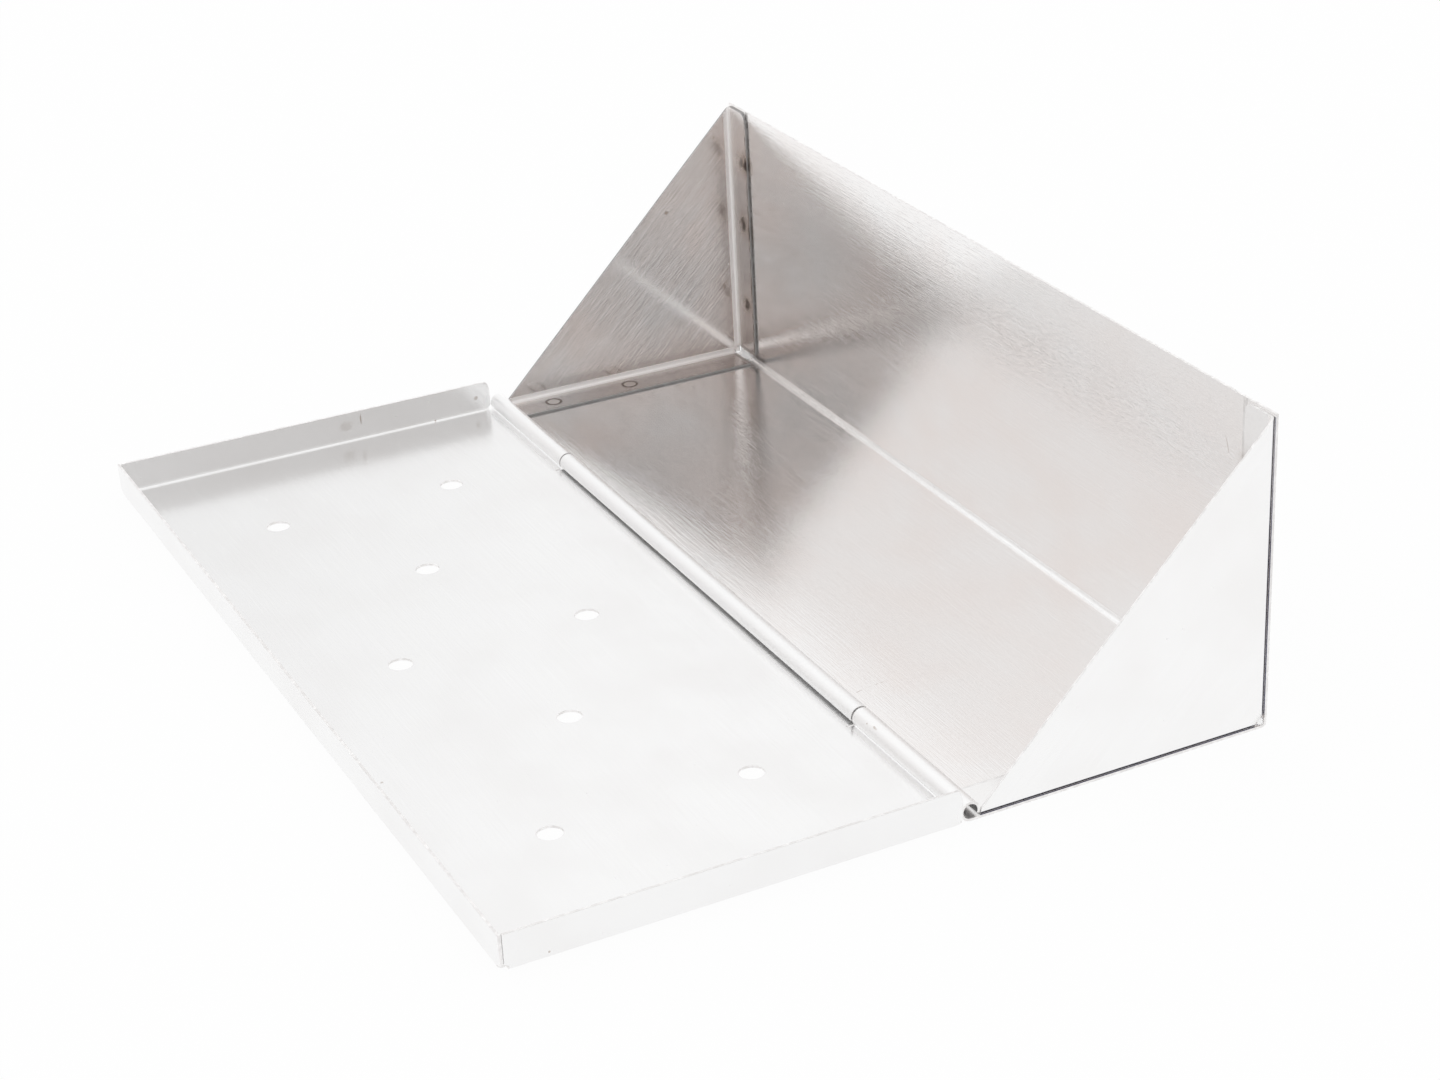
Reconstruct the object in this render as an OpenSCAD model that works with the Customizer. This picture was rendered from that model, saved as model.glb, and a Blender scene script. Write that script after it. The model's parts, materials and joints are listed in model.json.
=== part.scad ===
// Folded sheet-steel wood-chip smoker box: a V-shaped trough closed by two
// spot-welded end plates, with a flanged and vented lid on a rolled wire hinge.
// The lid lies open, flat on the surface that the trough stands on.
// X runs along the box, +Y from the hinge to the back, +Z up, base at Z = 0.

/* [Trough] */
// Length of the trough along the hinge
box_len = 330; // [240:1:420]
// Depth from the hinge axis to the outside of the back
box_depth = 98; // [80:1:130]
// Height of the back
box_height = 97; // [80:1:130]
// Thickness of every sheet
sheet = 0.8; // [0.6:0.1:1.2]
// Inside radius of the long fold between floor and back
fold_r = 1; // [1:0.5:4]

/* [End plates] */
// Width of the welding flanges, from the end of the trough to the free edge
weld_flange = 14; // [11:0.5:18]
// Inside radius of every flange bend
bend_r = 0.8; // [0.5:0.1:1.5]
// How far behind the hinge axis the sloping edge would meet the floor
slope_foot = 1.5; // [0.5:0.5:4]
// How far below the top of the back the sloping edge ends
slope_drop = 0.5; // [0.2:0.1:2]
// Clearance between the end plates and the hinge knuckles
plate_gap = 0.4; // [0.2:0.1:1]
// Width of the corner tab that fills in between the two flanges at the long fold
corner_tab = 1.2; // [0.8:0.1:2]
// Clearance around the corner tab
tab_gap = 0.5; // [0.3:0.1:0.7]
// Corner radius at the top of the back flange
flange_round = 4; // [1:0.5:6]

/* [Spot welds] */
// Diameter of a weld nugget
weld_d = 5; // [3:0.5:6]
// How deep the electrode has sunk each nugget
weld_sink = 0.1; // [0.05:0.05:0.2]
// Distance from the end of the trough to the welds
weld_inset = 8; // [7:0.5:10]
// Distance from the hinge axis to the first floor weld
weld_front = 18; // [12:1:30]
// Distance between the two floor welds
weld_pitch = 30; // [15:1:40]
// Height of the lowest weld on the back
weld_low = 22.5; // [12:0.5:30]
// Distance from the top of the back to the highest weld
weld_top = 20; // [12:1:25]
// Height of the middle back weld above the midpoint of the other two
weld_stray = 3; // [0:0.5:6]

/* [Hinge] */
// Outside diameter of the rolled knuckles
knuckle_d = 6; // [5:0.5:8]
// Angle left open between a knuckle's free end and its sheet
curl_open = 65; // [60:5:90]
// Length of each of the trough's two end knuckles
end_knuckle = 61; // [20:1:90]
// Gap between neighbouring knuckles
knuckle_gap = 0.8; // [0.4:0.1:2]
// Clearance between a knuckle and the sheet edge opposite
curl_gap = 0.4; // [0.3:0.1:1]
// Depth of the relief slots at the knuckle ends, from the hinge axis
slot_depth = 4.6; // [4:0.1:8]
// Radial play of the hinge pin in the knuckles
pin_play = 0.05; // [0.02:0.01:0.1]
// How far the pin ends inside the end knuckles
pin_recess = 6; // [2:1:15]

/* [Lid] */
// Height of the lid flanges
lid_flange = 11.3; // [8:0.1:20]
// Play between the end plates and the lid's end flanges
end_play = 0.3; // [0.2:0.1:1]
// Play between the back and the lid's front flange when shut
front_play = 0.7; // [0.5:0.1:2]
// Gap of the butt joints at the front corners
butt_gap = 0.35; // [0.2:0.05:0.8]
// Radius of the end flanges' corners near the hinge
lid_round = 4; // [1:0.5:6]
// Distance from the hinge axis to the end flanges
flange_start = 3; // [2:0.1:6]
// Radius of the relief holes in the front corners
corner_relief = 0.9; // [0.5:0.1:1.5]

/* [Vents] */
// Diameter of a vent hole
vent_d = 7.5; // [4:0.5:12]
// Distance between neighbouring columns of vents
vent_pitch = 56; // [30:1:70]
// Distance between neighbouring rows of vents
vent_row = 30.5; // [15:0.5:40]

/* [Hidden] */
$fn = 96;

// hinge
knuckle_r = knuckle_d / 2;
curl_r = knuckle_r - sheet;
// where a sheet edge clears a knuckle rolled from the other sheet
edge_back = sqrt(pow(knuckle_r, 2) - pow(curl_r, 2)) + curl_gap;
centre_half = box_len / 2 - end_knuckle - knuckle_gap;
pin_r = curl_r - pin_play;
pin_len = box_len - 2 * pin_recess;

// bends
fold_out = fold_r + sheet;
bend_out = bend_r + sheet;

// lid, wide enough to pass outside the top edge of the back
reach = norm([box_depth, box_height - knuckle_r]);
lid_width = reach + front_play + sheet;
lid_half = box_len / 2 + end_play + sheet;
lid_mid = (edge_back + lid_width) / 2;

// the whole part is centred over the origin
hinge_y = (lid_width - box_depth) / 2;

// end plates
back_in = box_depth - sheet;
plate_front = knuckle_r + plate_gap;
slope = (box_height - slope_drop - sheet) / (back_in - slope_foot);
// where the flanges and their bends stop short of the long fold
flange_end = max(bend_out, fold_r) + corner_tab;
front_z = sheet + (plate_front - slope_foot) * slope;

// spot welds: floor welds as distances from the hinge axis, back welds as heights
weld_x = box_len / 2 - weld_inset;
weld_deep = sheet / 2;
weld_long = sheet + weld_deep - weld_sink;
weld_rear = weld_front + weld_pitch;
weld_high = box_height - weld_top;
weld_mid = (weld_low + weld_high) / 2 + weld_stray;

far = 2 * (box_len + box_depth + box_height);
eps = 0.01;

trough_colour = [0.74, 0.72, 0.70];
plate_colour = [0.80, 0.79, 0.78];
lid_colour = [0.90, 0.90, 0.90];
pin_colour = [0.55, 0.55, 0.56];
weld_colour = [0.50, 0.47, 0.45];

// extrudes a profile drawn in Y and Z along X
module along_x(x0, x1)
    translate([x0, 0, 0]) rotate([90, 0, 90]) linear_extrude(x1 - x0) children();

// extrudes a profile drawn in X and Z along Y
module along_y(y0, y1)
    translate([0, y1, 0]) rotate([90, 0, 0]) linear_extrude(y1 - y0) children();

// extrudes a profile drawn in X and Y along Z
module along_z(z0, z1)
    translate([0, 0, z0]) linear_extrude(z1 - z0) children();

// a box from one corner to the opposite one
module block(low, high) translate(low) cube(high - low);

// a strip bent around the origin from angle a0 to angle a1
module arc_strip(outer, inner, a0, a1)
    intersection() {
        difference() {
            circle(outer);
            circle(inner);
        }
        polygon(concat([[0, 0]],
            [for (i = [0:8]) 2 * outer * [cos(a0 + (a1 - a0) * i / 8), sin(a0 + (a1 - a0) * i / 8)]]));
    }

// what a rounded corner at the origin loses, with the piece towards +X and +Y
module corner_loss(r)
    difference() {
        translate([-eps, -eps]) square(r + eps);
        translate([r, r]) circle(r);
    }

// knuckle rolled up from a floor sheet that comes in from +Y
module curl_profile() {
    translate([0, knuckle_r]) arc_strip(knuckle_r, curl_r, curl_open - 90, 270);
    square([edge_back + eps, sheet]);
}

// space beside a knuckle that separates it from its neighbour
module relief_slot(x0, x1)
    block([x0, -knuckle_d, -eps], [x1, slot_depth, knuckle_d + eps]);

// floor, long fold and back in one strip
module trough_profile() {
    translate([edge_back, 0]) square([box_depth - fold_out - edge_back, sheet]);
    translate([box_depth - fold_out, fold_out]) arc_strip(fold_out, fold_r, -90, 0);
    translate([back_in, fold_out]) square([sheet, box_height - fold_out]);
}

module trough_sheet()
    difference() {
        union() {
            along_x(-box_len / 2, box_len / 2) trough_profile();
            for (s = [0, 1]) mirror([s, 0, 0])
                along_x(centre_half + knuckle_gap, box_len / 2) curl_profile();
        }
        for (s = [0, 1]) mirror([s, 0, 0]) {
            relief_slot(centre_half, centre_half + knuckle_gap);
            weld_spots(0);
        }
    }

// triangle that the end plate is cut to, flanges and all
module plate_outline()
    polygon([[plate_front, sheet], [back_in, sheet],
        [back_in, box_height - slope_drop], [plate_front, front_z]]);

// tab of the flat plate that reaches into the long fold, between the bends
module corner_tab_outline() {
    size = flange_end - tab_gap - tab_gap / 2;
    translate([back_in - tab_gap, sheet + tab_gap]) mirror([1, 0]) difference() {
        square(size);
        corner_loss(fold_r - tab_gap);
    }
}

// right-hand end plate with its floor and back welding flanges
module end_plate_sheet() {
    face = box_len / 2;
    free = face - weld_flange;
    bend_x = face - bend_out;
    bend_y = back_in - bend_out;
    bend_z = sheet + bend_out;
    end_y = back_in - flange_end;
    end_z = sheet + flange_end;
    difference() {
        intersection() {
            along_x(free, face) plate_outline();
            union() {
                block([face - sheet, 0, bend_z], [face, bend_y, box_height]);
                along_x(face - sheet, face) corner_tab_outline();
                block([free, 0, sheet], [bend_x, end_y, 2 * sheet]);
                along_y(0, end_y) translate([bend_x, bend_z]) arc_strip(bend_out, bend_r, -90, 0);
                block([free, back_in - sheet, end_z], [bend_x, back_in, box_height]);
                along_z(end_z, box_height) translate([bend_x, bend_y]) arc_strip(bend_out, bend_r, 0, 90);
            }
        }
        along_y(back_in - sheet - eps, back_in + eps)
            translate([free, box_height - slope_drop]) mirror([0, 1]) corner_loss(flange_round);
        weld_spots(weld_sink);
    }
}

// one nugget, standing on its lower face, with some length added on top
module nugget(extra) cylinder(d = weld_d, h = weld_long + extra);

// a floor weld at a distance from the hinge axis, a back weld at a height
module floor_weld(y, extra) translate([weld_x, y, sheet - weld_deep]) nugget(extra);
module back_weld(z, extra)
    translate([weld_x, back_in + weld_deep, z]) rotate([90, 0, 0]) nugget(extra);

// all the welds of one end plate
module weld_spots(extra) {
    for (y = [weld_front, weld_rear]) floor_weld(y, extra + eps);
    for (z = [weld_low, weld_mid, weld_high]) back_weld(z, extra + eps);
}

// vents: three rows of alternate columns
module vents()
    for (c = [-2:2], r = [-1:1]) if ((c + r) % 2 != 0)
        translate([c * vent_pitch, -lid_mid + r * vent_row, -eps]) cylinder(d = vent_d, h = sheet + 2 * eps);

// end flange of the lid on the right
module lid_end_flange() {
    start = flange_start + sheet;
    along_y(-lid_width + bend_out, -start) translate([lid_half - bend_out, bend_out])
        arc_strip(bend_out, bend_r, -90, 0);
    difference() {
        block([lid_half - sheet, -lid_width + sheet + butt_gap, bend_out],
            [lid_half, -flange_start, lid_flange]);
        along_x(lid_half - sheet - eps, lid_half + eps)
            translate([-flange_start, lid_flange]) mirror([1, 0]) mirror([0, 1]) corner_loss(lid_round);
    }
}

module lid_sheet()
    difference() {
        union() {
            block([-lid_half + bend_out, -lid_width + bend_out, 0], [lid_half - bend_out, -edge_back, sheet]);
            along_x(-lid_half, lid_half) translate([-lid_width + bend_out, bend_out])
                arc_strip(bend_out, bend_r, 180, 270);
            block([-lid_half, -lid_width, bend_out], [lid_half, -lid_width + sheet, lid_flange]);
            for (s = [0, 1]) mirror([s, 0, 0]) lid_end_flange();
            mirror([0, 1, 0]) along_x(-centre_half, centre_half) curl_profile();
        }
        for (s = [0, 1]) mirror([s, 0, 0]) {
            mirror([0, 1, 0]) relief_slot(centre_half, centre_half + knuckle_gap);
            translate([lid_half - bend_out, -lid_width + bend_out, -eps])
                cylinder(r = corner_relief, h = sheet + 2 * eps);
        }
        vents();
    }

// puts a piece drawn from the hinge axis in its place; side is 0 right, 1 left
module placed(side = 0) translate([0, hinge_y, 0]) mirror([side, 0, 0]) children();

module trough() color(trough_colour) placed() trough_sheet();
module left_end_plate() color(plate_colour) placed(1) end_plate_sheet();
module right_end_plate() color(plate_colour) placed() end_plate_sheet();
module hinge_pin() color(pin_colour) placed()
    translate([-pin_len / 2, 0, knuckle_r]) rotate([0, 90, 0]) cylinder(r = pin_r, h = pin_len);
module lid() color(lid_colour) placed() lid_sheet();

module left_floor_weld_front() color(weld_colour) placed(1) floor_weld(weld_front, 0);
module left_floor_weld_rear() color(weld_colour) placed(1) floor_weld(weld_rear, 0);
module left_back_weld_low() color(weld_colour) placed(1) back_weld(weld_low, 0);
module left_back_weld_mid() color(weld_colour) placed(1) back_weld(weld_mid, 0);
module left_back_weld_top() color(weld_colour) placed(1) back_weld(weld_high, 0);
module right_floor_weld_front() color(weld_colour) placed() floor_weld(weld_front, 0);
module right_floor_weld_rear() color(weld_colour) placed() floor_weld(weld_rear, 0);
module right_back_weld_low() color(weld_colour) placed() back_weld(weld_low, 0);
module right_back_weld_mid() color(weld_colour) placed() back_weld(weld_mid, 0);
module right_back_weld_top() color(weld_colour) placed() back_weld(weld_high, 0);

trough();
left_end_plate();
right_end_plate();
hinge_pin();
lid();
left_floor_weld_front();
left_floor_weld_rear();
left_back_weld_low();
left_back_weld_mid();
left_back_weld_top();
right_floor_weld_front();
right_floor_weld_rear();
right_back_weld_low();
right_back_weld_mid();
right_back_weld_top();
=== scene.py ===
import json
import math
import random

import bmesh
import bpy
from mathutils import Matrix, Vector


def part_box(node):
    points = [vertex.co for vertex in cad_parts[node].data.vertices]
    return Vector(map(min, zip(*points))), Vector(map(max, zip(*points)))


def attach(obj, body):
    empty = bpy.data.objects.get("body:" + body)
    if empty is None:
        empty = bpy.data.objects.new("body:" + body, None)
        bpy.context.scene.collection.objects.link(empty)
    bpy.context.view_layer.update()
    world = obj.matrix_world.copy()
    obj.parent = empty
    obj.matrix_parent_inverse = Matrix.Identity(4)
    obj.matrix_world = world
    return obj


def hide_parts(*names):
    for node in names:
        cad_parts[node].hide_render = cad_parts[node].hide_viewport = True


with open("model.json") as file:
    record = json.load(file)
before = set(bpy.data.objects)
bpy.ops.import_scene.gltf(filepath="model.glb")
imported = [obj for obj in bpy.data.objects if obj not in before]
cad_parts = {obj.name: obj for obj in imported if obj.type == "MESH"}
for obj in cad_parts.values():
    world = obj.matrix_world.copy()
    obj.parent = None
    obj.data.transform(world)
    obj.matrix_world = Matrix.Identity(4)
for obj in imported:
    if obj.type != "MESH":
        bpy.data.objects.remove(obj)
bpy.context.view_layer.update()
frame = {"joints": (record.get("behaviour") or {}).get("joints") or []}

# ------------------------------------- sizes in millimetres, from the hinge axis

MM = 0.001
HINGE = Vector(frame["joints"][0]["pos_m"])
trough_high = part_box("trough")[1]
lid_low, lid_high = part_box("lid")
pin_low, pin_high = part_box("hinge_pin")

BOX_END = trough_high.x / MM              # from the middle to each end of the trough
BACK_OUT = (trough_high.y - HINGE.y) / MM    # the outer face of the back
HEIGHT = trough_high.z / MM
LID_END = lid_high.x / MM
LID_FRONT = (HINGE.y - lid_low.y) / MM
LID_TOP = lid_high.z / MM                 # height of the lid's flanges
AXIS_UP = HINGE.z / MM                    # from the ground to the hinge axis
PIN_HALF = pin_high.x / MM
PIN_R = (pin_high.z - pin_low.z) / 2 / MM

SHEET = 0.8                               # thickness of every sheet
MID = SHEET / 2
BEND = 1.6                                # outside radius of the flange bends
FOLD = 1.8                                # outside radius of the long fold
BESIDE = 0.6                              # narrow strip beside a bend or fold
BEND_STEPS, FOLD_STEPS, CURL_STEPS = 8, 12, 34
EDGE_EASE = 0.12                          # how far the cut edges are rounded over

EDGE_BACK = 2.44                          # from the hinge axis to a sheet's edge
SLOT_DEPTH = 4.6                          # from the hinge axis to the slots' bottoms
KNUCKLE_SPAN = (103.2, 104.0)             # the slot between two knuckles
CURL_TURN = 295.0                         # degrees that a knuckle is rolled

FLANGE = 14.0                             # width of the welding flanges
FLANGE_CORNER, FLANGE_NOTCH = 4.0, 2.2    # corner radii at a flange's far and near end
PLATE_FRONT = 3.4                         # from the hinge axis to the end plates
FLANGE_END = 2.8                          # where the flanges stop short of the fold
FLANGE_EDGE = BOX_END - FLANGE            # their free edges
TAB = (0.5, 2.55)                         # the corner tab, from the inner faces
PANEL_STRIP = 2.6                         # narrow strip of an end plate above its bend
PLAIN_END = 5.0                           # length at a slope's ends without burrs
SLOPE_FALL = 0.7                          # how far the sloping edge is below y = z

WELD_X = BOX_END - 8.0
FLOOR_WELDS = (18.0, 48.0)                # distances from the hinge axis
BACK_WELDS = (22.5, 52.75, 77.0)          # heights

VENT_R = 3.75
VENT_PITCH, VENT_ROW = 56.0, 30.5         # between columns and rows of vents
VENT_MID = 69.867                         # from the hinge axis to the middle row
VENT_CELL = 9.0                           # half of the square of sheet round a vent
LID_RELIEF = 0.9                          # the notch at the lid's two front corners
LID_STRIP = 0.7                           # narrow strip above the lid's bends
LID_FLANGE_START = 3.0                    # where the end flanges start, from the hinge axis
LID_BEND_START = 3.8                      # where their bends start
LID_CORNER_GAP = 0.35                     # between an end flange and the front flange
LID_CORNER = 4.0                          # radius of the end flanges' top corners

NEAR = 0.01                               # how close counts as on a line

PLACE = Matrix.Translation((0, HINGE.y, 0)) @ Matrix.Diagonal((MM, MM, MM, 1))


def at(x, y, z):
    """A point given in millimetres from the hinge axis, in metres."""
    return PLACE @ Vector((x, y, z))


# ---------------------------------------------------------------- shader maths

class Socket:
    """One output of a node, with Python's arithmetic on it."""

    def __init__(self, tree, out):
        self.tree, self.out = tree, out

    def _math(self, operation, *values):
        return self.tree.node("ShaderNodeMath", {"operation": operation}, values)

    def __add__(self, other):
        return self._math("ADD", self, other)

    def __sub__(self, other):
        return self._math("SUBTRACT", self, other)

    def __rsub__(self, other):
        return self._math("SUBTRACT", other, self)

    def __mul__(self, other):
        return self._math("MULTIPLY", self, other)

    def __pow__(self, other):
        return self._math("POWER", self, other)

    __radd__ = __add__
    __rmul__ = __mul__

    def __abs__(self):
        return self._math("ABSOLUTE", self)

    def sqrt(self):
        return self._math("SQRT", self)

    def least(self, other):
        return self._math("MINIMUM", self, other)

    def most(self, other):
        return self._math("MAXIMUM", self, other)


MIX_FACTOR, MIX_FIRST, MIX_SECOND, MIXED = 0, 6, 7, 2     # a Mix node's sockets for colours


class Tree:
    """A material's nodes, made by one general method."""

    def __init__(self, name):
        self.material = bpy.data.materials.new(name)
        self.material.use_nodes = True
        self.nodes, self.links = self.material.node_tree.nodes, self.material.node_tree.links
        self.nodes.clear()

    def node(self, kind, settings=None, inputs=None, output=0):
        made = self.nodes.new(kind)
        for name, value in (settings or {}).items():
            setattr(made, name, value)
        pairs = inputs.items() if isinstance(inputs, dict) else enumerate(inputs or ())
        for key, value in pairs:
            if isinstance(value, Socket):
                self.links.new(value.out, made.inputs[key])
            else:
                made.inputs[key].default_value = value
        return Socket(self, made.outputs[output] if len(made.outputs) else None)

    def surface(self, shader):
        """Ends the tree in this shader."""
        self.node("ShaderNodeOutputMaterial", inputs={"Surface": shader})
        return self.material

    def place(self):
        """The point on the object, in metres."""
        return self.node("ShaderNodeTexCoord", output="Object")

    def axes(self):
        """The three numbers of that point."""
        split = self.node("ShaderNodeSeparateXYZ", inputs=[self.place()])
        return [Socket(self, out) for out in split.out.node.outputs]

    def grained(self, lengths, turn=(0, 0, 0), shift=(0, 0, 0)):
        """Coordinates that count one for each of these lengths, in millimetres, on axes
        turned by these degrees; shift moves the pattern, in metres."""
        return self.node("ShaderNodeMapping", {"vector_type": "TEXTURE"}, {
            "Vector": self.place(), "Scale": [length * MM for length in lengths],
            "Rotation": [math.radians(angle) for angle in turn], "Location": shift})

    def noise(self, vector, detail=2.0, rough=0.5):
        return self.node("ShaderNodeTexNoise", inputs={
            "Vector": vector, "Scale": 1.0, "Detail": detail, "Roughness": rough})

    def even_noise(self, size, detail=2.0, rough=0.5):
        """Noise with blotches of one size every way, in millimetres."""
        return self.noise(self.grained((size,) * 3), detail, rough)

    def specks(self, spacing, size, turn=(0, 0, 0)):
        """Small round spots, one to a cell, with sizes in millimetres."""
        reach = self.node("ShaderNodeTexVoronoi", {"feature": "F1"}, {
            "Vector": self.grained((spacing,) * 3, turn), "Scale": 1.0})
        return self.ramp(reach, size / spacing, size / spacing * 0.5)

    def ramp(self, value, low, high, bottom=0.0, top=1.0):
        """Goes smoothly from bottom, where the value is low, to top, where it is high."""
        return self.node("ShaderNodeMapRange", {"interpolation_type": "SMOOTHSTEP"}, {
            "Value": value, "From Min": low, "From Max": high, "To Min": bottom, "To Max": top})

    def band(self, value, middle, half):
        """One within half of the middle, both in millimetres, fading out a little beyond."""
        return self.ramp(abs(value - middle * MM), 1.6 * half * MM, half * MM)

    def blend(self, factor, first, second):
        """Goes from the first colour to the second."""
        made = self.node("ShaderNodeMix", {"data_type": "RGBA"}, output=MIXED)
        for key, value in ((MIX_FACTOR, factor), (MIX_FIRST, first), (MIX_SECOND, second)):
            if isinstance(value, Socket):
                self.links.new(value.out, made.out.node.inputs[key])
            else:
                made.out.node.inputs[key].default_value = value
        return made

    def away(self, axes, centre, spread=(1, 1, 1)):
        """Distance from a point, in millimetres, squeezed by the spread on each axis.

        An axis with no spread isn't counted, so it gives the distance from a line."""
        total = None
        for axis, value, wide in zip(axes, centre, spread):
            if wide:
                square = ((axis - value) * (1 / (MM * wide))) ** 2.0
                total = square if total is None else total + square
        return total.sqrt()


def grey(value, warm=0.0):
    """A grey; warm is how much it leans to pink."""
    return (value * (1 + warm), value, value * (1 - 0.45 * warm), 1.0)


# -------------------------------------------------------------- steel finishes

ALONG_BOX = ((14.0, 0.32, 0.32), (0, 0, 0))      # size of the brushing's grain, and its turn
ALONG_SLOPE = ((0.32, 14.0, 0.32), (45, 0, 0))
UNBRUSHED = ((0.5, 0.5, 0.5), (0, 0, 0))
STREAK_SIZE, STREAK_SHIFT = 2.4, (0.31, 0.17, 0.53)     # against the grain's own
CLOUD_SIZE, BUCKLE_SIZE = (38, 30, 30), (85, 60, 60)
PIT_SPACING, PIT_SIZE, PIT_PATCH = 5.5, 0.26, 17
DIRT_SPACING, DIRT_SIZE, DIRT_TURN = 31.0, 0.42, (20, 30, 10)
SMOOTHEST = 0.02                                 # least roughness

# Weld soot, and also the painted shadow along the welding flanges' free edges.
SOOT_AND_SHADE = (0.10, 0.075, 0.065, 1.0)
STRAW = (0.42, 0.33, 0.27, 1.0)
# Painted shade in the grooves at the outsides of the end plates' bends.
GROOVE_SHADE_BLUE = (0.08, 0.09, 0.19, 1.0)
RING_DARK = (0.16, 0.12, 0.10, 1.0)
RING_PALE = (0.78, 0.70, 0.66, 1.0)
# Painted shade on the welding flanges towards the corner.
FLANGE_SHADE = grey(0.38, 0.12)

LEFT, RIGHT = -0.1, 0.1                          # either side of the middle, in metres


def both_ends(axes):
    """The axes with the left half of the box folded onto the right half."""
    return [abs(axes[0])] + axes[1:]


def behind_knuckles(tree, axes):
    """One where the floor is flat, behind the knuckles rolled from its front edge."""
    return tree.ramp(axes[1], HINGE.y + (PLATE_FRONT - 0.4) * MM, HINGE.y + PLATE_FRONT * MM)


def brushed_steel(name, grain, tone, rough, warm=0.015, depth=0.03, streaks=0.03,
                  marks=(), painted_glint=None):
    """Stainless sheet with its brushing along one direction, pitted and a little handled.

    tone is how light it is, depth the grain's depth in millimetres, and streaks how much
    rougher its streaks are. marks are functions that take the tree, the axes, the colour
    and the roughness and return the last two with a weld burn, a scratch, a nick or painted
    shade added. The function passed last marks where the surface is not metal, so that it
    shows bright white: a painted highlight. The insides of the long fold and of the end
    plates' bends are painted lighter: painted highlights."""
    tree = Tree(name)
    axes = tree.axes()
    lengths, turn = grain
    fine = tree.noise(tree.grained(lengths, turn), 3.0, 0.6)
    wider = [length * STREAK_SIZE for length in lengths]
    streak = tree.noise(tree.grained(wider, turn, STREAK_SHIFT), 3.0, 0.6)
    cloud = tree.noise(tree.grained(CLOUD_SIZE), 2.0, 0.5)

    streaked, clouded = tree.ramp(streak, 0.3, 0.7), tree.ramp(cloud, 0.35, 0.75)
    colour = tree.blend(streaked, grey(tone * 0.985, warm), grey(tone, warm * 0.5))
    colour = tree.blend(clouded * 0.7, colour, grey(tone * 0.95, warm * 3))
    uneven = (fine - 0.5) * 0.8 + (cloud - 0.5) * 0.4 + 1.0
    rougher = uneven * rough + tree.ramp(streak, 0.48, 0.66) * streaks
    pitted = tree.ramp(tree.even_noise(PIT_PATCH), 0.42, 0.6)
    rougher = rougher + tree.specks(PIT_SPACING, PIT_SIZE) * pitted * 0.55
    dirt = tree.specks(DIRT_SPACING, DIRT_SIZE, DIRT_TURN)
    colour = tree.blend(dirt * 0.6, colour, STRAW)
    for mark in marks:
        colour, rougher = mark(tree, axes, colour, rougher)

    inner_fold, inner_bend = FOLD - SHEET, BEND - SHEET
    arc = tree.away(axes, at(0, BACK_OUT - FOLD, FOLD), (0, 1, 1))
    fold = tree.ramp(arc, inner_fold + 0.35, inner_fold + 0.1)
    sides = both_ends(axes)
    turn_in = at(BOX_END - BEND, BACK_OUT - SHEET - BEND, SHEET + BEND)
    floor_bend = tree.away(sides, turn_in, (1, 0, 1))
    back_bend = tree.away(sides, turn_in, (1, 1, 0))
    bends = tree.ramp(floor_bend.least(back_bend), inner_bend + 0.7, inner_bend + 0.25)
    bends = bends * behind_knuckles(tree, axes)
    # Painted highlights: the inside of the long fold is painted white and the end plates' bends
    # nearly white; the bends are also made rougher.
    colour = tree.blend(tree.ramp(arc, inner_fold + 0.3, inner_fold + 0.05), colour, grey(1.0))
    colour = tree.blend(bends * 0.75, colour, grey(0.98, 0.02))
    rougher = rougher + bends * 0.35

    deeper = fold * 3.0 + bends * 2.0 + 1.0
    grains = tree.node("ShaderNodeBump", inputs={
        "Strength": 1.0, "Distance": depth * MM, "Height": (fine + streak * 0.4) * deeper})
    buckle = tree.noise(tree.grained(BUCKLE_SIZE, shift=(0.1, 0.4, 0.9)), 1.0, 0.4)
    normal = tree.node("ShaderNodeBump", inputs={
        "Strength": 0.22, "Distance": 0.5 * MM, "Height": buckle, "Normal": grains})
    # Where the painted highlight is, the surface is not metal and shows bright white.
    metal = 1.0 - painted_glint(tree, axes) if painted_glint else 1.0
    return tree.surface(tree.node("ShaderNodeBsdfPrincipled", inputs={
        "Base Color": colour, "Metallic": metal, "Roughness": rougher.most(SMOOTHEST),
        "Normal": normal}))


def sheared_edge(name, tone, metal):
    """The cut edge of a sheet: fine score lines across its thickness, and a dull breakout."""
    tree = Tree(name)
    score = tree.noise(tree.grained((0.25, 0.25, 2.5)), 2.0, 0.6)
    breakout = tree.even_noise(2.2, 3.0, 0.6)
    dull = tree.ramp(breakout, 0.35, 0.7)
    colour = tree.blend(dull, grey(tone * 0.85, 0.02), grey(tone, 0.01))
    bump = tree.node("ShaderNodeBump", inputs={
        "Strength": 0.5, "Distance": 0.03 * MM, "Height": score})
    return tree.surface(tree.node("ShaderNodeBsdfPrincipled", inputs={
        "Base Color": colour, "Metallic": metal, "Normal": bump,
        "Roughness": 0.6 + (score - 0.5) * 0.2 + (breakout - 0.5) * 0.2}))


# ------------------------------------------------- weld burns, stains, wear, painted shade and highlights

def inside(tree, axes):
    """One on the inner faces of the trough, and zero on its outer ones and its knuckles."""
    outer_back = HINGE.y + BACK_OUT * MM
    back_face = tree.ramp(axes[1], outer_back - 0.3 * MM, outer_back - 0.5 * MM)
    return back_face * behind_knuckles(tree, axes) * tree.ramp(axes[2], 0.3 * MM, 0.5 * MM)


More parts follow.
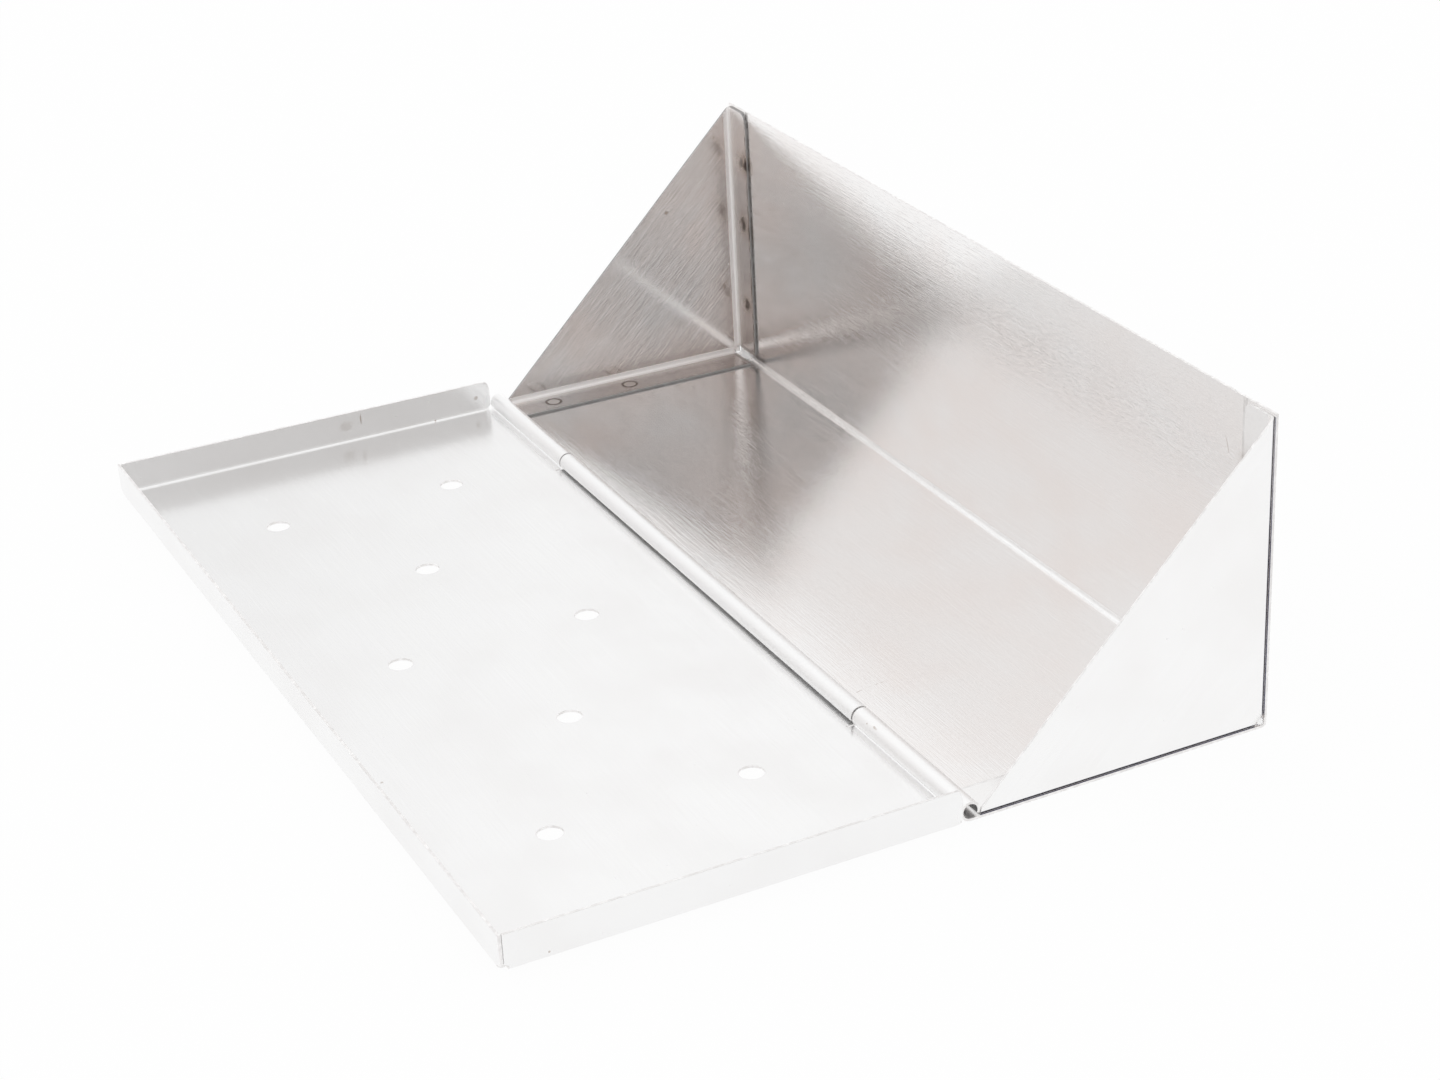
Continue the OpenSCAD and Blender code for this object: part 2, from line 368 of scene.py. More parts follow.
def burn(centre, spread, strength, ragged=0.5):
    """A heat mark round a weld: a sooty middle that fades out through straw."""
    def mark(tree, axes, colour, rougher):
        reach = tree.away(both_ends(axes), centre, spread)
        reach = reach + (tree.even_noise(1.6, 3.0, 0.6) - 0.5) * (2 * ragged)
        side = tree.ramp(axes[0], LEFT, RIGHT, 1.0, 0.3) * inside(tree, axes)
        tinted = tree.ramp(reach, 1.9, 0.7) * side * (0.55 * strength)
        soot = tree.ramp(reach, 1.0, 0.25) * side
        colour = tree.blend(tinted, colour, STRAW)
        return tree.blend(soot * strength, colour, SOOT_AND_SHADE), rougher + soot * (0.35 * strength)
    return mark


def weld_ring(centre, radius, strength):
    """The thin dark ring that an electrode prints on the sheet."""
    def mark(tree, axes, colour, rougher):
        reach = tree.away(both_ends(axes), centre)
        reach = reach + (tree.even_noise(2.5, 1.0, 0.5) - 0.5) * 0.35
        ring = tree.ramp(reach, radius - 0.6, radius - 0.25)
        ring = ring * tree.ramp(reach, radius + 0.6, radius + 0.25)
        inner = tree.ramp(reach, radius, radius - 0.5)
        colour = tree.blend(inner * 0.25, colour, RING_PALE)
        return tree.blend(ring * strength, colour, RING_DARK), rougher + inner * 0.12
    return mark


def arc_scratch(flat, centre, radius, middle, half_length, depth):
    """A faint curved scratch on the plane of two axes, in millimetres from the hinge axis."""
    def mark(tree, axes, colour, rougher):
        picked = [axes[i] for i in flat]
        round_it = abs(tree.away(picked, [centre[i] for i in flat]) - radius)
        along = tree.away(axes, middle)
        line = tree.ramp(round_it, 0.22, 0.08) * tree.ramp(along, half_length, half_length * 0.6)
        line = line * tree.ramp(tree.even_noise(2.0), 0.35, 0.5)
        return tree.blend(line * depth, colour, STRAW), rougher + line * (0.3 * depth)
    return mark


def nick(centre, spread, strength):
    """A small dark dent or smear."""
    def mark(tree, axes, colour, rougher):
        reach = tree.away(axes, centre, spread) + (tree.even_noise(0.8, 2.0, 0.5) - 0.5)
        return tree.blend(tree.ramp(reach, 1.0, 0.5) * strength, colour, STRAW), rougher
    return mark


def knuckle_highlight(tree, axes, colour, rougher):
    """The rolled knuckles are painted paler, a painted highlight for the white they reflect, and
    are made duller than the flat sheet.
    """
    rolled = tree.ramp(tree.away(axes, at(0, 0, AXIS_UP), (0, 1, 1)), 5.5, 3.5)
    return tree.blend(rolled * 0.8, colour, grey(1.0)), rougher + rolled * 0.25


def fold_end_glint(tree, axes):
    """A painted highlight at the end of the fold beside the corner tab: a patch that is not metal,
    so that it shows bright white.
    """
    glint_at = at(5.0 - BOX_END, BACK_OUT - FOLD / 2, FOLD / 2)
    return tree.ramp(tree.away(axes, glint_at, (3.4, 2.0, 2.0)), 1.15, 0.9)


def flange_edge_shade_and_grime(tree, axes, colour, rougher):
    """Painted shadow and grime on both sides of the welding flanges' free edges, most of it at the
    left.
    """
    end = both_ends(axes)[0]
    line = tree.band(end, FLANGE_EDGE - 0.6, 0.4).most(tree.band(end, FLANGE_EDGE + 0.5, 0.3))
    line = line * tree.ramp(tree.even_noise(2.2, 3.0, 0.7), 0.36, 0.56, 0.25, 1.0)
    line = line * tree.ramp(axes[2], 3 * MM, 6 * MM, 0.4, 0.75)
    line = line * tree.ramp(axes[0], LEFT, RIGHT, 1.0, 0.25) * inside(tree, axes)
    return tree.blend(line, colour, SOOT_AND_SHADE), rougher + line * 0.3


def flange_shade(tree, axes, colour, rougher):
    """The welding flanges are painted darker towards the corner, a painted shade, and the corner
    tab is dull.
    """
    reach = tree.away(axes, at(0, BACK_OUT, 0), (0, 1, 1))
    flanges = tree.ramp(abs(axes[0]), (BOX_END - 1.2) * MM, (BOX_END - 1.9) * MM)
    painted_shade = flanges * tree.ramp(reach, 105.0, 55.0, -0.3, 0.6)
    return tree.blend(painted_shade, colour, FLANGE_SHADE), rougher + tree.ramp(reach, 5.4, 4.6, 0.0, 0.5)


def groove_shade(tree, axes, colour, rougher):
    """Painted shade: the outsides of the end plates' bends are darkened to blue where they meet
    the floor and the back, most of all low down.
    """
    beyond = abs(axes[0]) * (1 / MM) - (BOX_END - BEND)
    low = SHEET + BEND - axes[2] * (1 / MM)
    behind = (axes[1] - HINGE.y) * (1 / MM) - (BACK_OUT - SHEET - BEND)
    tint = tree.ramp(beyond.least(low).most(beyond.least(behind)), 0.66, 0.92)
    tint = tint * tree.ramp(axes[2], 0.9 * HEIGHT * MM, 0.5 * HEIGHT * MM, 0.45, 0.88)
    return tree.blend(tint, colour, GROOVE_SHADE_BLUE), rougher + tint * 0.1


flange_back = BACK_OUT - 2 * SHEET
weld_low, weld_mid, weld_top = BACK_WELDS
floor_rings = [weld_ring(at(WELD_X, y, 2 * SHEET), radius=2.6, strength=0.95) for y in FLOOR_WELDS]
back_burns = [burn(at(WELD_X - inset, flange_back, z), (2.4, 2.0, tall), strength, ragged=0.9)
              for inset, z, tall, strength in ((1.8, weld_low, 3.2, 0.8),
                                               (1.5, weld_mid + 1, 3.8, 0.85),
                                               (2.2, weld_top + 0.5, 3.2, 0.6))]
edge_burns = [burn(at(FLANGE_EDGE + over, flange_back, z), (wide, 2.0, tall), strength)
              for over, z, wide, tall, strength in ((0.4, weld_low + 8, 1.2, 3.5, 0.5),
                                                    (0.2, weld_mid - 1, 1.5, 4.5, 0.7),
                                                    (0.6, weld_top, 2.6, 3.6, 1.0))]

inner_floor, inner_back = SHEET, BACK_OUT - SHEET
inner_plate, inner_end = SHEET - BOX_END, SHEET - LID_END
trough_wear = [
    arc_scratch((0, 1), at(121, 17.5, inner_floor), radius=35.0,
                middle=at(87, 11, inner_floor), half_length=9.0, depth=0.45),
    arc_scratch((0, 2), at(118, inner_back, 70), radius=27.0,
                middle=at(143, inner_back, 79), half_length=4.0, depth=0.5),
    nick(at(115.5, -2.0, 5.5), (1.6, 0.5, 0.5), 0.5),
    nick(at(111.5, -2.4, 5.2), (0.5, 0.4, 0.5), 0.6),
    nick(at(152.5, inner_back, 82), (0.35, 2.0, 1.6), 0.5)]
left_plate_wear = [
    nick(at(inner_plate, 69.9, 60.9), (2, 0.8, 0.8), 0.7),
    nick(at(inner_plate, 90.3, 85.3), (2, 0.5, 0.6), 0.5),
    nick(at(inner_plate, 91.5, 28), (2, 0.7, 1.8), 0.4)]
lid_wear = [
    nick(at(inner_end, -51.4, 8.0), (2, 0.35, 2.6), 0.6),
    nick(at(inner_end, -8.2, 6.1), (2, 0.9, 0.9), 0.5),
    nick(at(inner_end, -57.0, 6.5), (2, 3.0, 2.2), 0.2),
    nick(at(62.9, -129.9, inner_floor), (0.6, 0.6, 0.6), 0.5)]
plate_marks = [flange_shade, flange_edge_shade_and_grime, groove_shade] + floor_rings + back_burns + edge_burns

trough_steel = brushed_steel(
    "brushed_trough", ALONG_BOX, tone=0.925, rough=0.09, depth=0.032, streaks=0.05,
    marks=[knuckle_highlight, flange_edge_shade_and_grime] + edge_burns + trough_wear, painted_glint=fold_end_glint)
right_plate_steel = brushed_steel(
    "brushed_right_plate", ALONG_SLOPE, tone=0.96, rough=0.19, warm=0.004, depth=0.01,
    streaks=0.01, marks=plate_marks)
# The left end plate is the same steel as the right one, painted darker (tone 0.72 against 0.96):
# painted shade.
shaded_left_plate_steel = brushed_steel(
    "brushed_left_plate_shaded", ALONG_SLOPE, tone=0.72, rough=0.13, warm=0.035, depth=0.06,
    streaks=0.05, marks=plate_marks + left_plate_wear)
lid_steel = brushed_steel(
    "brushed_lid", ALONG_BOX, tone=0.945, rough=0.2, warm=0.003, depth=0.015,
    streaks=0.01, marks=[knuckle_highlight] + lid_wear)
edge_steel = sheared_edge("sheared_edge", tone=1.0, metal=1.0)
plate_edge_steel = sheared_edge("dull_plate_edge", tone=1.0, metal=0.5)
# The left plate's cut edges: a darker copy of the plate edge, partly grime and partly painted
# shade in the gaps at its flanges' edges.
shaded_grimy_edge_steel = sheared_edge("shaded_grimy_plate_edge", tone=0.5, metal=1.0)
wire_steel = brushed_steel("drawn_wire", ALONG_BOX, tone=0.3, rough=0.3)
weld_steel = brushed_steel(
    "weld_nugget", UNBRUSHED, tone=0.8, rough=0.25, warm=0.03,
    marks=[flange_shade] + floor_rings + back_burns)


# ------------------------------------------------------------------ bent sheets

class Sheet:
    """A bent sheet drawn along its middle, in millimetres from the hinge axis."""

    def __init__(self):
        self.form = bmesh.new()

    def row(self, points):
        """Starts the sheet with a row of edges through these points."""
        verts = [self.form.verts.new(point) for point in points]
        return [self.form.edges.new(pair) for pair in zip(verts, verts[1:])]

    def push(self, edges, by):
        """Extrudes a row of edges straight on and returns the new row."""
        made = bmesh.ops.extrude_edge_only(self.form, edges=edges)["geom"]
        verts = {part for part in made if isinstance(part, bmesh.types.BMVert)}
        bmesh.ops.translate(self.form, verts=list(verts), vec=by)
        return [part for part in made
                if isinstance(part, bmesh.types.BMEdge) and set(part.verts) <= verts]

    def steps(self, edges, axis, start, stops):
        """Pushes a row of edges along one axis from stop to stop, and returns the last row."""
        for stop in stops:
            by = [0, 0, 0]
            by[axis] = stop - start
            edges, start = self.push(edges, by), stop
        return edges

    def bend(self, edges, centre, axis, angle, steps=BEND_STEPS):
        """Rolls a row of edges round an axis and returns the new row."""
        parts = list(edges) + list({vert for edge in edges for vert in edge.verts})
        made = bmesh.ops.spin(self.form, geom=parts, cent=centre, axis=axis, dvec=(0, 0, 0),
                              angle=math.radians(angle), steps=steps, use_duplicate=False)
        return [part for part in made["geom_last"] if isinstance(part, bmesh.types.BMEdge)]

    def edges_where(self, test, edges=None):
        """The edges whose two ends both pass a test."""
        return [edge for edge in (edges or self.form.edges)
                if all(test(vert.co) for vert in edge.verts)]

    def drop(self, test):
        """Deletes the faces whose middle passes a test."""
        faces = [face for face in self.form.faces if test(face.calc_center_median())]
        bmesh.ops.delete(self.form, geom=faces, context="FACES")

    def cut(self, point, normal):
        """Cuts off what lies on the normal's side of a plane."""
        everything = self.form.verts[:] + self.form.edges[:] + self.form.faces[:]
        bmesh.ops.bisect_plane(self.form, geom=everything, plane_co=point, plane_no=normal,
                               clear_outer=True, dist=1e-5)

    def round_corner(self, point, radius):
        """Rounds off the corner of the sheet at this point."""
        verts = [vert for vert in self.form.verts if (vert.co - Vector(point)).length < 1e-3]
        bmesh.ops.bevel(self.form, geom=verts, offset=radius, offset_type="OFFSET",
                        affect="VERTICES", segments=7, profile=0.5, material=-1,
                        clamp_overlap=False)

    def roughen(self, test, pitch, lift):
        """Splits the free edges that pass a test to this pitch and moves each new point by
        lift(point)."""
        free = [edge for edge in self.edges_where(test) if edge.is_boundary]
        for edge in free:
            cuts = int(edge.calc_length() / pitch)
            if cuts:
                bmesh.ops.subdivide_edges(self.form, edges=[edge], cuts=cuts)
        self.form.verts.ensure_lookup_table()
        for vert in self.form.verts:
            if vert.is_boundary and test(vert.co) and len(vert.link_edges) == 2:
                vert.co += lift(vert.co)

    def mirrored(self):
        bmesh.ops.scale(self.form, vec=(-1, 1, 1), verts=self.form.verts)
        return self


def linked(name, form, materials, node, body):
    """Makes an object of a finished form, which stands for a CAD node and moves with its body."""
    bmesh.ops.transform(form, matrix=PLACE, verts=form.verts)
    mesh = bpy.data.meshes.new(name)
    form.to_mesh(mesh)
    form.free()
    for polygon in mesh.polygons:
        polygon.use_smooth = True
    piece = bpy.data.objects.new(name, mesh)
    bpy.context.scene.collection.objects.link(piece)
    for material in materials:
        mesh.materials.append(material)
    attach(piece, body)
    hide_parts(node)
    return piece


def sheet_piece(name, sheet, materials, node, body):
    """Gives a bent sheet its thickness and eases its cut edges."""
    form = sheet.form
    bmesh.ops.remove_doubles(form, verts=form.verts, dist=1e-3)
    bmesh.ops.recalc_face_normals(form, faces=form.faces)
    piece = linked(name, form, materials, node, body)
    thick = piece.modifiers.new("thickness", "SOLIDIFY")
    thick.thickness, thick.offset = SHEET * MM, 0.0
    thick.use_even_offset = True
    thick.material_offset_rim = 1
    eased = piece.modifiers.new("eased_edges", "BEVEL")
    eased.width, eased.segments = EDGE_EASE * MM, 2
    eased.limit_method, eased.angle_limit = "ANGLE", math.radians(50)
    eased.harden_normals = True
    eased.use_clamp_overlap = True


def knuckle(sheet, edges, side):
    """Rolls a knuckle up from a sheet's edge; side is 1 from the trough and -1 from the lid."""
    flat = sheet.push(edges, (0, -EDGE_BACK * side, 0))
    sheet.bend(flat, (0, 0, AXIS_UP), (1, 0, 0), -CURL_TURN * side, CURL_STEPS)


def triangle_wave(value, middle, half):
    """One at the middle, falling straight to zero at half from it."""
    return max(0.0, 1 - abs(value - middle) / half)


def trough_sheet(nicks):
    """The floor, the long fold, the back and the two end knuckles; nicks are places along
    the back's top edge, with their half-width and depth."""
    inner, outer = KNUCKLE_SPAN
    sheet = Sheet()
    columns = (-BOX_END, -outer, -inner, inner, outer, BOX_END)
    first = sheet.row([(x, SLOT_DEPTH, MID) for x in columns])
    front = [edge for edge in first if edge.calc_length() > 2 * (outer - inner)]
    front = sheet.push(front, (0, EDGE_BACK - SLOT_DEPTH, 0))
    knuckle(sheet, sheet.edges_where(lambda co: abs(co.x) > outer - 0.1, front), 1)
    rear = sheet.steps(first, 1, SLOT_DEPTH, (BACK_OUT - FOLD - BESIDE, BACK_OUT - FOLD))
    up = sheet.bend(rear, (0, BACK_OUT - FOLD, FOLD), (1, 0, 0), 90, FOLD_STEPS)
    sheet.steps(up, 2, FOLD, (FOLD + BESIDE, HEIGHT))
    chance = random.Random(4)

    def worn(co):
        fall = 0.03 * chance.random()
        for place, half, deep in nicks:
            fall += deep * triangle_wave(co.x, place, half)
        return Vector((0, 0, -fall))

    sheet.roughen(lambda co: co.z > HEIGHT - NEAR, pitch=0.8, lift=worn)
    return sheet


def on_slope(co):
    return abs(co.y - co.z - SLOPE_FALL) < NEAR


def end_plate_sheet(burrs, seed):
    """The right-hand end plate: a triangle with two flanges and a corner tab; burrs are
    places along its sloping edge, with their half-width and height."""
    face = BOX_END - MID
    in_y, in_z = BACK_OUT - SHEET, SHEET
    low, high = in_z + BEND, HEIGHT
    tab_y = (in_y - TAB[1], in_y - TAB[0])
    tab_z = (in_z + TAB[0], in_z + TAB[1])
    rows = (tab_z[0], low, tab_z[1], in_z + FLANGE_END, low + PANEL_STRIP, high)
    columns = (PLATE_FRONT, in_y - FLANGE_END, tab_y[0], in_y - BEND - BESIDE, in_y - BEND,
               tab_y[1])
    sheet = Sheet()
    first = sheet.row([(face, y, rows[0]) for y in columns])
    sheet.steps(first, 2, rows[0], rows[1:])

    def spare(co):
        flat = co.y < in_y - BEND and co.z > low
        tab = tab_y[0] < co.y and co.z < tab_z[1]
        return not (flat or tab)

    sheet.drop(spare)
    bend_x = face + MID - BEND
    across = (bend_x - BESIDE, FLANGE_EDGE)
    foot = sheet.edges_where(
        lambda co: abs(co.z - low) < NEAR and co.y < in_y - FLANGE_END + NEAR)
    foot = sheet.bend(foot, (bend_x, 0, low), (0, 1, 0), 90)
    sheet.steps(foot, 0, bend_x, across)
    side = sheet.edges_where(
        lambda co: abs(co.y - (in_y - BEND)) < NEAR and co.z > in_z + FLANGE_END - NEAR)
    side = sheet.bend(side, (bend_x, in_y - BEND, 0), (0, 0, 1), 90)
    sheet.steps(side, 0, bend_x, across)
    sheet.cut((0, SLOPE_FALL, 0), (0, -1, 1))
    back_y = in_y - MID
    sheet.round_corner((FLANGE_EDGE, back_y, back_y - SLOPE_FALL), FLANGE_CORNER)
    sheet.round_corner((FLANGE_EDGE, back_y, in_z + FLANGE_END), FLANGE_NOTCH)
    chance = random.Random(seed)

    def ragged(co):
        rise = chance.uniform(-0.05, 0.05)
        for place, half, tall in burrs:
            near = triangle_wave(co.y, place, half)
            rise += tall * near * chance.uniform(-0.2, 1.0)
        return Vector((0, -rise, rise)) * 0.7

    def bare_slope(co):
        return on_slope(co) and co.x > face - NEAR and PLAIN_END < co.y < in_y - PLAIN_END

    sheet.roughen(bare_slope, pitch=0.7, lift=ragged)
    return sheet


def vent_places():
    """The middles of the vents: three rows of alternate columns."""
    return [(column * VENT_PITCH, -VENT_MID + row * VENT_ROW)
            for column in range(-2, 3) for row in (-1, 0, 1) if (column + row) % 2]


def cut_vent(sheet, x, y):
    """Takes the square cell round a vent out of the sheet and fills it round the hole."""
    sheet.drop(lambda co: abs(co.x - x) < 1 and abs(co.y - y) < 1)
    square = [edge for edge in sheet.edges_where(
        lambda co: abs(co.x - x) < VENT_CELL + NEAR and abs(co.y - y) < VENT_CELL + NEAR)
        if edge.is_boundary]
    ring = bmesh.ops.create_circle(sheet.form, cap_ends=False, segments=44, radius=VENT_R,
                                   matrix=Matrix.Translation((x, y, MID)))["verts"]
    hoop = list({edge for vert in ring for edge in vert.link_edges})
    bmesh.ops.triangle_fill(sheet.form, use_beauty=True, use_dissolve=False, edges=square + hoop)


def lid_end_flange(sheet, side, half, front):
    """Bends up one end of the lid, and sets its flange's two ends."""
    foot = sheet.edges_where(
        lambda co: abs(co.x - side * half) < NEAR and co.y < 0.1 - LID_BEND_START)
    foot = sheet.bend(foot, (side * half, 0, BEND), (0, 1, 0), -90 * side)
    foot = sheet.push(foot, (0, 0, LID_STRIP))
    for vert in {vert for edge in foot for vert in edge.verts}:
        if vert.co.y > -0.1 - LID_BEND_START:
            vert.co.y = -LID_FLANGE_START
        elif vert.co.y < -front + LID_RELIEF + NEAR:
            vert.co.y = -(LID_FRONT - SHEET - LID_CORNER_GAP)
    sheet.steps(foot, 2, BEND + LID_STRIP, (LID_TOP,))
    sheet.round_corner((side * (LID_END - MID), -LID_FLANGE_START, LID_TOP), LID_CORNER)


def lid_front_flange(sheet, half, front):
    """Bends up the front of the lid, as long as the lid itself."""
    foot = sheet.edges_where(lambda co: abs(co.y + front) < NEAR and co.z < MID + NEAR)
    foot = sheet.bend(foot, (0, -front, BEND), (1, 0, 0), -90)
    foot = sheet.push(foot, (0, 0, LID_STRIP))
    for vert in {vert for edge in foot for vert in edge.verts}:
        if abs(vert.co.x) > half - LID_RELIEF - NEAR:
            vert.co.x = math.copysign(LID_END, vert.co.x)
    sheet.steps(foot, 2, BEND + LID_STRIP, (LID_TOP,))


def lid_sheet():
    """The vented panel, its long middle knuckle, and its end and front flanges."""
    inner, outer = KNUCKLE_SPAN
    half, front = LID_END - BEND, LID_FRONT - BEND
    vents = vent_places()
    columns = sorted(
        {-half, half, -half + LID_RELIEF, half - LID_RELIEF, -inner, inner, -outer, outer}
        | {round(x + side * VENT_CELL, 3) for x, y in vents for side in (-1, 1)})
    rows = sorted({SLOT_DEPTH, front - LID_RELIEF, front}
                  | {round(-y + side * VENT_CELL, 3) for x, y in vents for side in (-1, 1)})
    sheet = Sheet()
    first = sheet.row([(x, -EDGE_BACK, MID) for x in columns])
    sheet.steps(first, 1, -EDGE_BACK, [-LID_BEND_START] + [-row for row in rows])
    sheet.drop(lambda co: (inner < abs(co.x) < outer and co.y > -SLOT_DEPTH)
               or (abs(co.x) > half - LID_RELIEF and co.y < -front + LID_RELIEF))
    for x, y in vents:
        cut_vent(sheet, x, y)
    middle = sheet.edges_where(
        lambda co: abs(co.y + EDGE_BACK) < NEAR and abs(co.x) < inner + NEAR)
    knuckle(sheet, middle, -1)
    for side in (-1, 1):
        lid_end_flange(sheet, side, half, front)
    lid_front_flange(sheet, half, front)
    return sheet


top_nicks = ((146.0, 0.9, 0.35), (153.5, 1.2, 0.28), (38.0, 0.8, 0.15), (-61.0, 0.7, 0.12))
slope_burrs = ((44.0, 4.0, 0.35), (39.0, 2.0, 0.5), (30.0, 5.0, 0.3), (52.0, 2.0, 0.4),
               (20.0, 4.0, 0.2), (64.0, 3.0, 0.2))
sheet_piece("trough_shell", trough_sheet(top_nicks), (trough_steel, edge_steel),
            "trough", "box")
sheet_piece("right_end_panel", end_plate_sheet(slope_burrs, 11),
            (right_plate_steel, plate_edge_steel), "right_end_plate", "box")
sheet_piece("left_end_panel", end_plate_sheet((), 12).mirrored(),
            (shaded_left_plate_steel, shaded_grimy_edge_steel), "left_end_plate", "box")
sheet_piece("lid_tray", lid_sheet(), (lid_steel, edge_steel), "lid", "lid")


# ------------------------------------------------------- hinge wire and welds

def turned(name, profile, matrix, material, node, segments):
    """Spins a profile of (radius, height) points, in millimetres, into a closed solid."""
    form = bmesh.new()
    verts = [form.verts.new((radius, 0, height)) for radius, height in profile]
    edges = [form.edges.new(pair) for pair in zip(verts, verts[1:])]
    bmesh.ops.spin(form, geom=verts + edges, cent=(0, 0, 0), axis=(0, 0, 1), dvec=(0, 0, 0),
                   angle=math.tau, steps=segments, use_merge=True, use_duplicate=False)
    bmesh.ops.remove_doubles(form, verts=form.verts, dist=1e-4)
    bmesh.ops.recalc_face_normals(form, faces=form.faces)
    bmesh.ops.transform(form, matrix=matrix, verts=form.verts)
    piece = linked(name, form, (material,), node, "box")
    piece.data.set_sharp_from_angle(angle=math.radians(35))


# The wire's two ends are the same: a flat face with an eased edge.
wire_end = ((0, 0), (PIN_R - 0.45, 0), (PIN_R - 0.1, 0.2), (PIN_R, 0.6))
wire_profile = ([(radius, run - PIN_HALF) for radius, run in wire_end]
                + [(radius, PIN_HALF - run) for radius, run in reversed(wire_end)])
turned("hinge_wire", wire_profile,
       Matrix.Translation((0, 0, AXIS_UP)) @ Matrix.Rotation(math.radians(90), 4, "Y"),
       wire_steel, "hinge_pin", segments=40)

# Half of a weld nugget, from below the sheet to the dimple in its top.
NUGGET = ((0, -0.7), (2.5, -0.7), (2.75, -0.1), (2.72, 0.03), (2.6, 0.075), (2.45, 0.07),
          (2.25, 0.02), (1.5, 0.012), (0.7, 0.03), (0, 0.04))


def weld_button(node, x, y, z, turn):
    """Sets a weld nugget on a flange; turn is the degrees that it leans forward."""
    matrix = Matrix.Translation((x, y, z)) @ Matrix.Rotation(math.radians(turn), 4, "X")
    turned(node + "_button", NUGGET, matrix, weld_steel, node, segments=36)


for word, side in (("left", -1), ("right", 1)):
    for place, y in zip(("front", "rear"), FLOOR_WELDS):
        weld_button(f"{word}_floor_weld_{place}", side * WELD_X, y, 2 * SHEET, 0)
    for place, z in zip(("low", "mid", "top"), BACK_WELDS):
        weld_button(f"{word}_back_weld_{place}", side * WELD_X, flange_back, z, 90)


# ------------------------------------------------------------ floor and studio

def white_ground(name, shaded):
    """A white surface; shaded is how much of its own shadow it keeps to the eye."""
    tree = Tree(name)
    rays = tree.node("ShaderNodeLightPath").out.node.outputs
    seen = Socket(tree, rays["Is Camera Ray"]).most(Socket(tree, rays["Is Glossy Ray"]))
    seen = seen.most(Socket(tree, rays["Is Transmission Ray"]))
    matt = tree.node("ShaderNodeBsdfDiffuse", inputs={"Color": grey(0.9)})
    glow = tree.node("ShaderNodeEmission", inputs={"Color": grey(1.0), "Strength": 1.0})
    return tree.surface(tree.node("ShaderNodeMixShader", inputs=[
        seen * (1.0 - shaded), matt, glow]))


def flat_card(name, size, matrix, material):
    """A square card that is part of the stage."""
    form = bmesh.new()
    bmesh.ops.create_grid(form, x_segments=1, y_segments=1, size=size)
    mesh = bpy.data.meshes.new(name)
    form.to_mesh(mesh)
    form.free()
    card = bpy.data.objects.new(name, mesh)
    card.matrix_world = matrix
    card.data.materials.append(material)
    bpy.context.scene.collection.objects.link(card)
    return card


flat_card("floor", 6.0, Matrix.Translation((0, 0, -0.2 * MM)), white_ground("white_floor", 0.06))

world = bpy.data.worlds.new("studio")
world.use_nodes = True
world.node_tree.nodes["Background"].inputs["Color"].default_value = grey(1.0)
world.node_tree.nodes["Background"].inputs["Strength"].default_value = 1.0
bpy.context.scene.world = world


def outwards(azimuth, elevation):
    """The direction from the box to a place in the studio, for angles in radians."""
    level = math.cos(elevation)
    return Vector((math.sin(azimuth) * level, -math.cos(azimuth) * level, math.sin(elevation)))


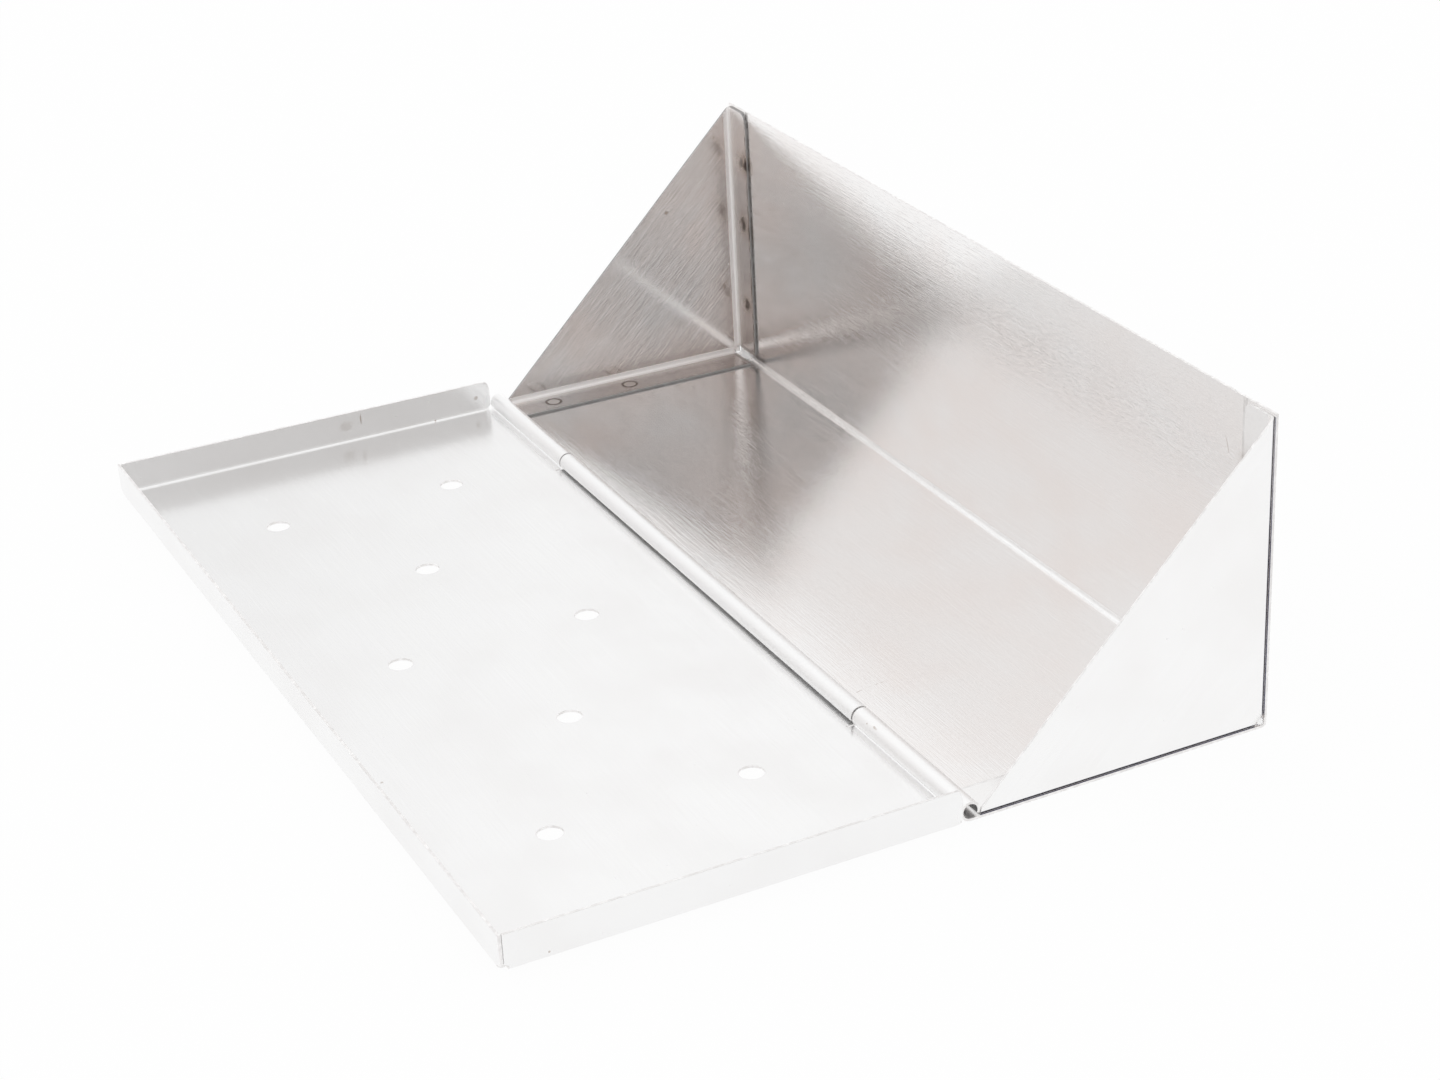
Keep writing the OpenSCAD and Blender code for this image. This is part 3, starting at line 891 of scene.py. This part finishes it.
def room_side(name, azimuth, elevation, distance, reach, level, warm, soft,
              aside=(0, 0), lean=0.0):
    """A soft-edged oval grey side of the studio that only shows in the metal.

    reach is its half-width and half-height in metres, soft the share of it where the edge
    starts to fade, aside moves it right and up, and lean turns it, in degrees."""
    away = outwards(math.radians(azimuth), math.radians(elevation))
    facing = away.to_track_quat("Z", "Y").to_matrix().to_4x4()
    tree = Tree(name)
    x, y = tree.axes()[:2]
    glow = tree.node("ShaderNodeEmission", inputs={"Color": grey(level, warm), "Strength": 1.0})
    clear = tree.node("ShaderNodeBsdfTransparent")
    middle = tree.ramp((x * x + y * y).sqrt(), 1.0, soft)
    oval = tree.surface(tree.node("ShaderNodeMixShader", inputs=[middle, clear, glow]))
    card = flat_card(name, 1.0, Matrix.Translation(away * distance) @ facing
                     @ Matrix.Translation((*aside, 0))
                     @ Matrix.Rotation(math.radians(lean), 4, "Z")
                     @ Matrix.Diagonal((*reach, 1, 1)), oval)
    card.visible_camera = card.visible_diffuse = card.visible_shadow = False


room_side("room_right", azimuth=116, elevation=26, distance=3.0, reach=(1.5, 1.5),
          level=0.62, warm=0.02, soft=0.45)
room_side("room_left", azimuth=299, elevation=12, distance=2.8, reach=(2.4, 1.19),
          level=0.82, warm=0.02, soft=0.5)
room_side("room_rear", azimuth=268, elevation=18, distance=3.0, reach=(1.6, 1.2),
          level=0.86, warm=0.0, soft=0.1)
room_side("room_near", azimuth=66.6, elevation=27.0, distance=0.91, reach=(0.24, 0.12),
          level=0.0, warm=0.3, soft=0.5, aside=(-0.035, 0.04), lean=-42)


# ---------------------------------------------------------------------- camera

SENSOR, LENS = 36.0, 72.83175                    # both in millimetres
LENS_SHIFT = (-0.11458333, 0.01388889)           # shares of the view's width
CAMERA_AT = Vector((0.7451, HINGE.y - 0.34191, 0.41425))
AZIMUTH, ELEVATION, ROLL = (math.radians(angle) for angle in (61.30, 26.45, -1.49))

camera = bpy.data.objects.new("camera", bpy.data.cameras.new("camera"))
bpy.context.scene.collection.objects.link(camera)
bpy.context.scene.camera = camera
camera.data.sensor_width, camera.data.lens = SENSOR, LENS
camera.data.shift_x, camera.data.shift_y = LENS_SHIFT
back = outwards(AZIMUTH, ELEVATION)
right = Vector((math.cos(AZIMUTH), math.sin(AZIMUTH), 0))
up = back.cross(right)
rolled_right = right * math.cos(ROLL) + up * math.sin(ROLL)
rolled_up = up * math.cos(ROLL) - right * math.sin(ROLL)
turn = Matrix((rolled_right, rolled_up, back)).transposed().to_4x4()
camera.matrix_world = Matrix.Translation(CAMERA_AT) @ turn

bpy.context.scene.view_settings.view_transform = "Standard"
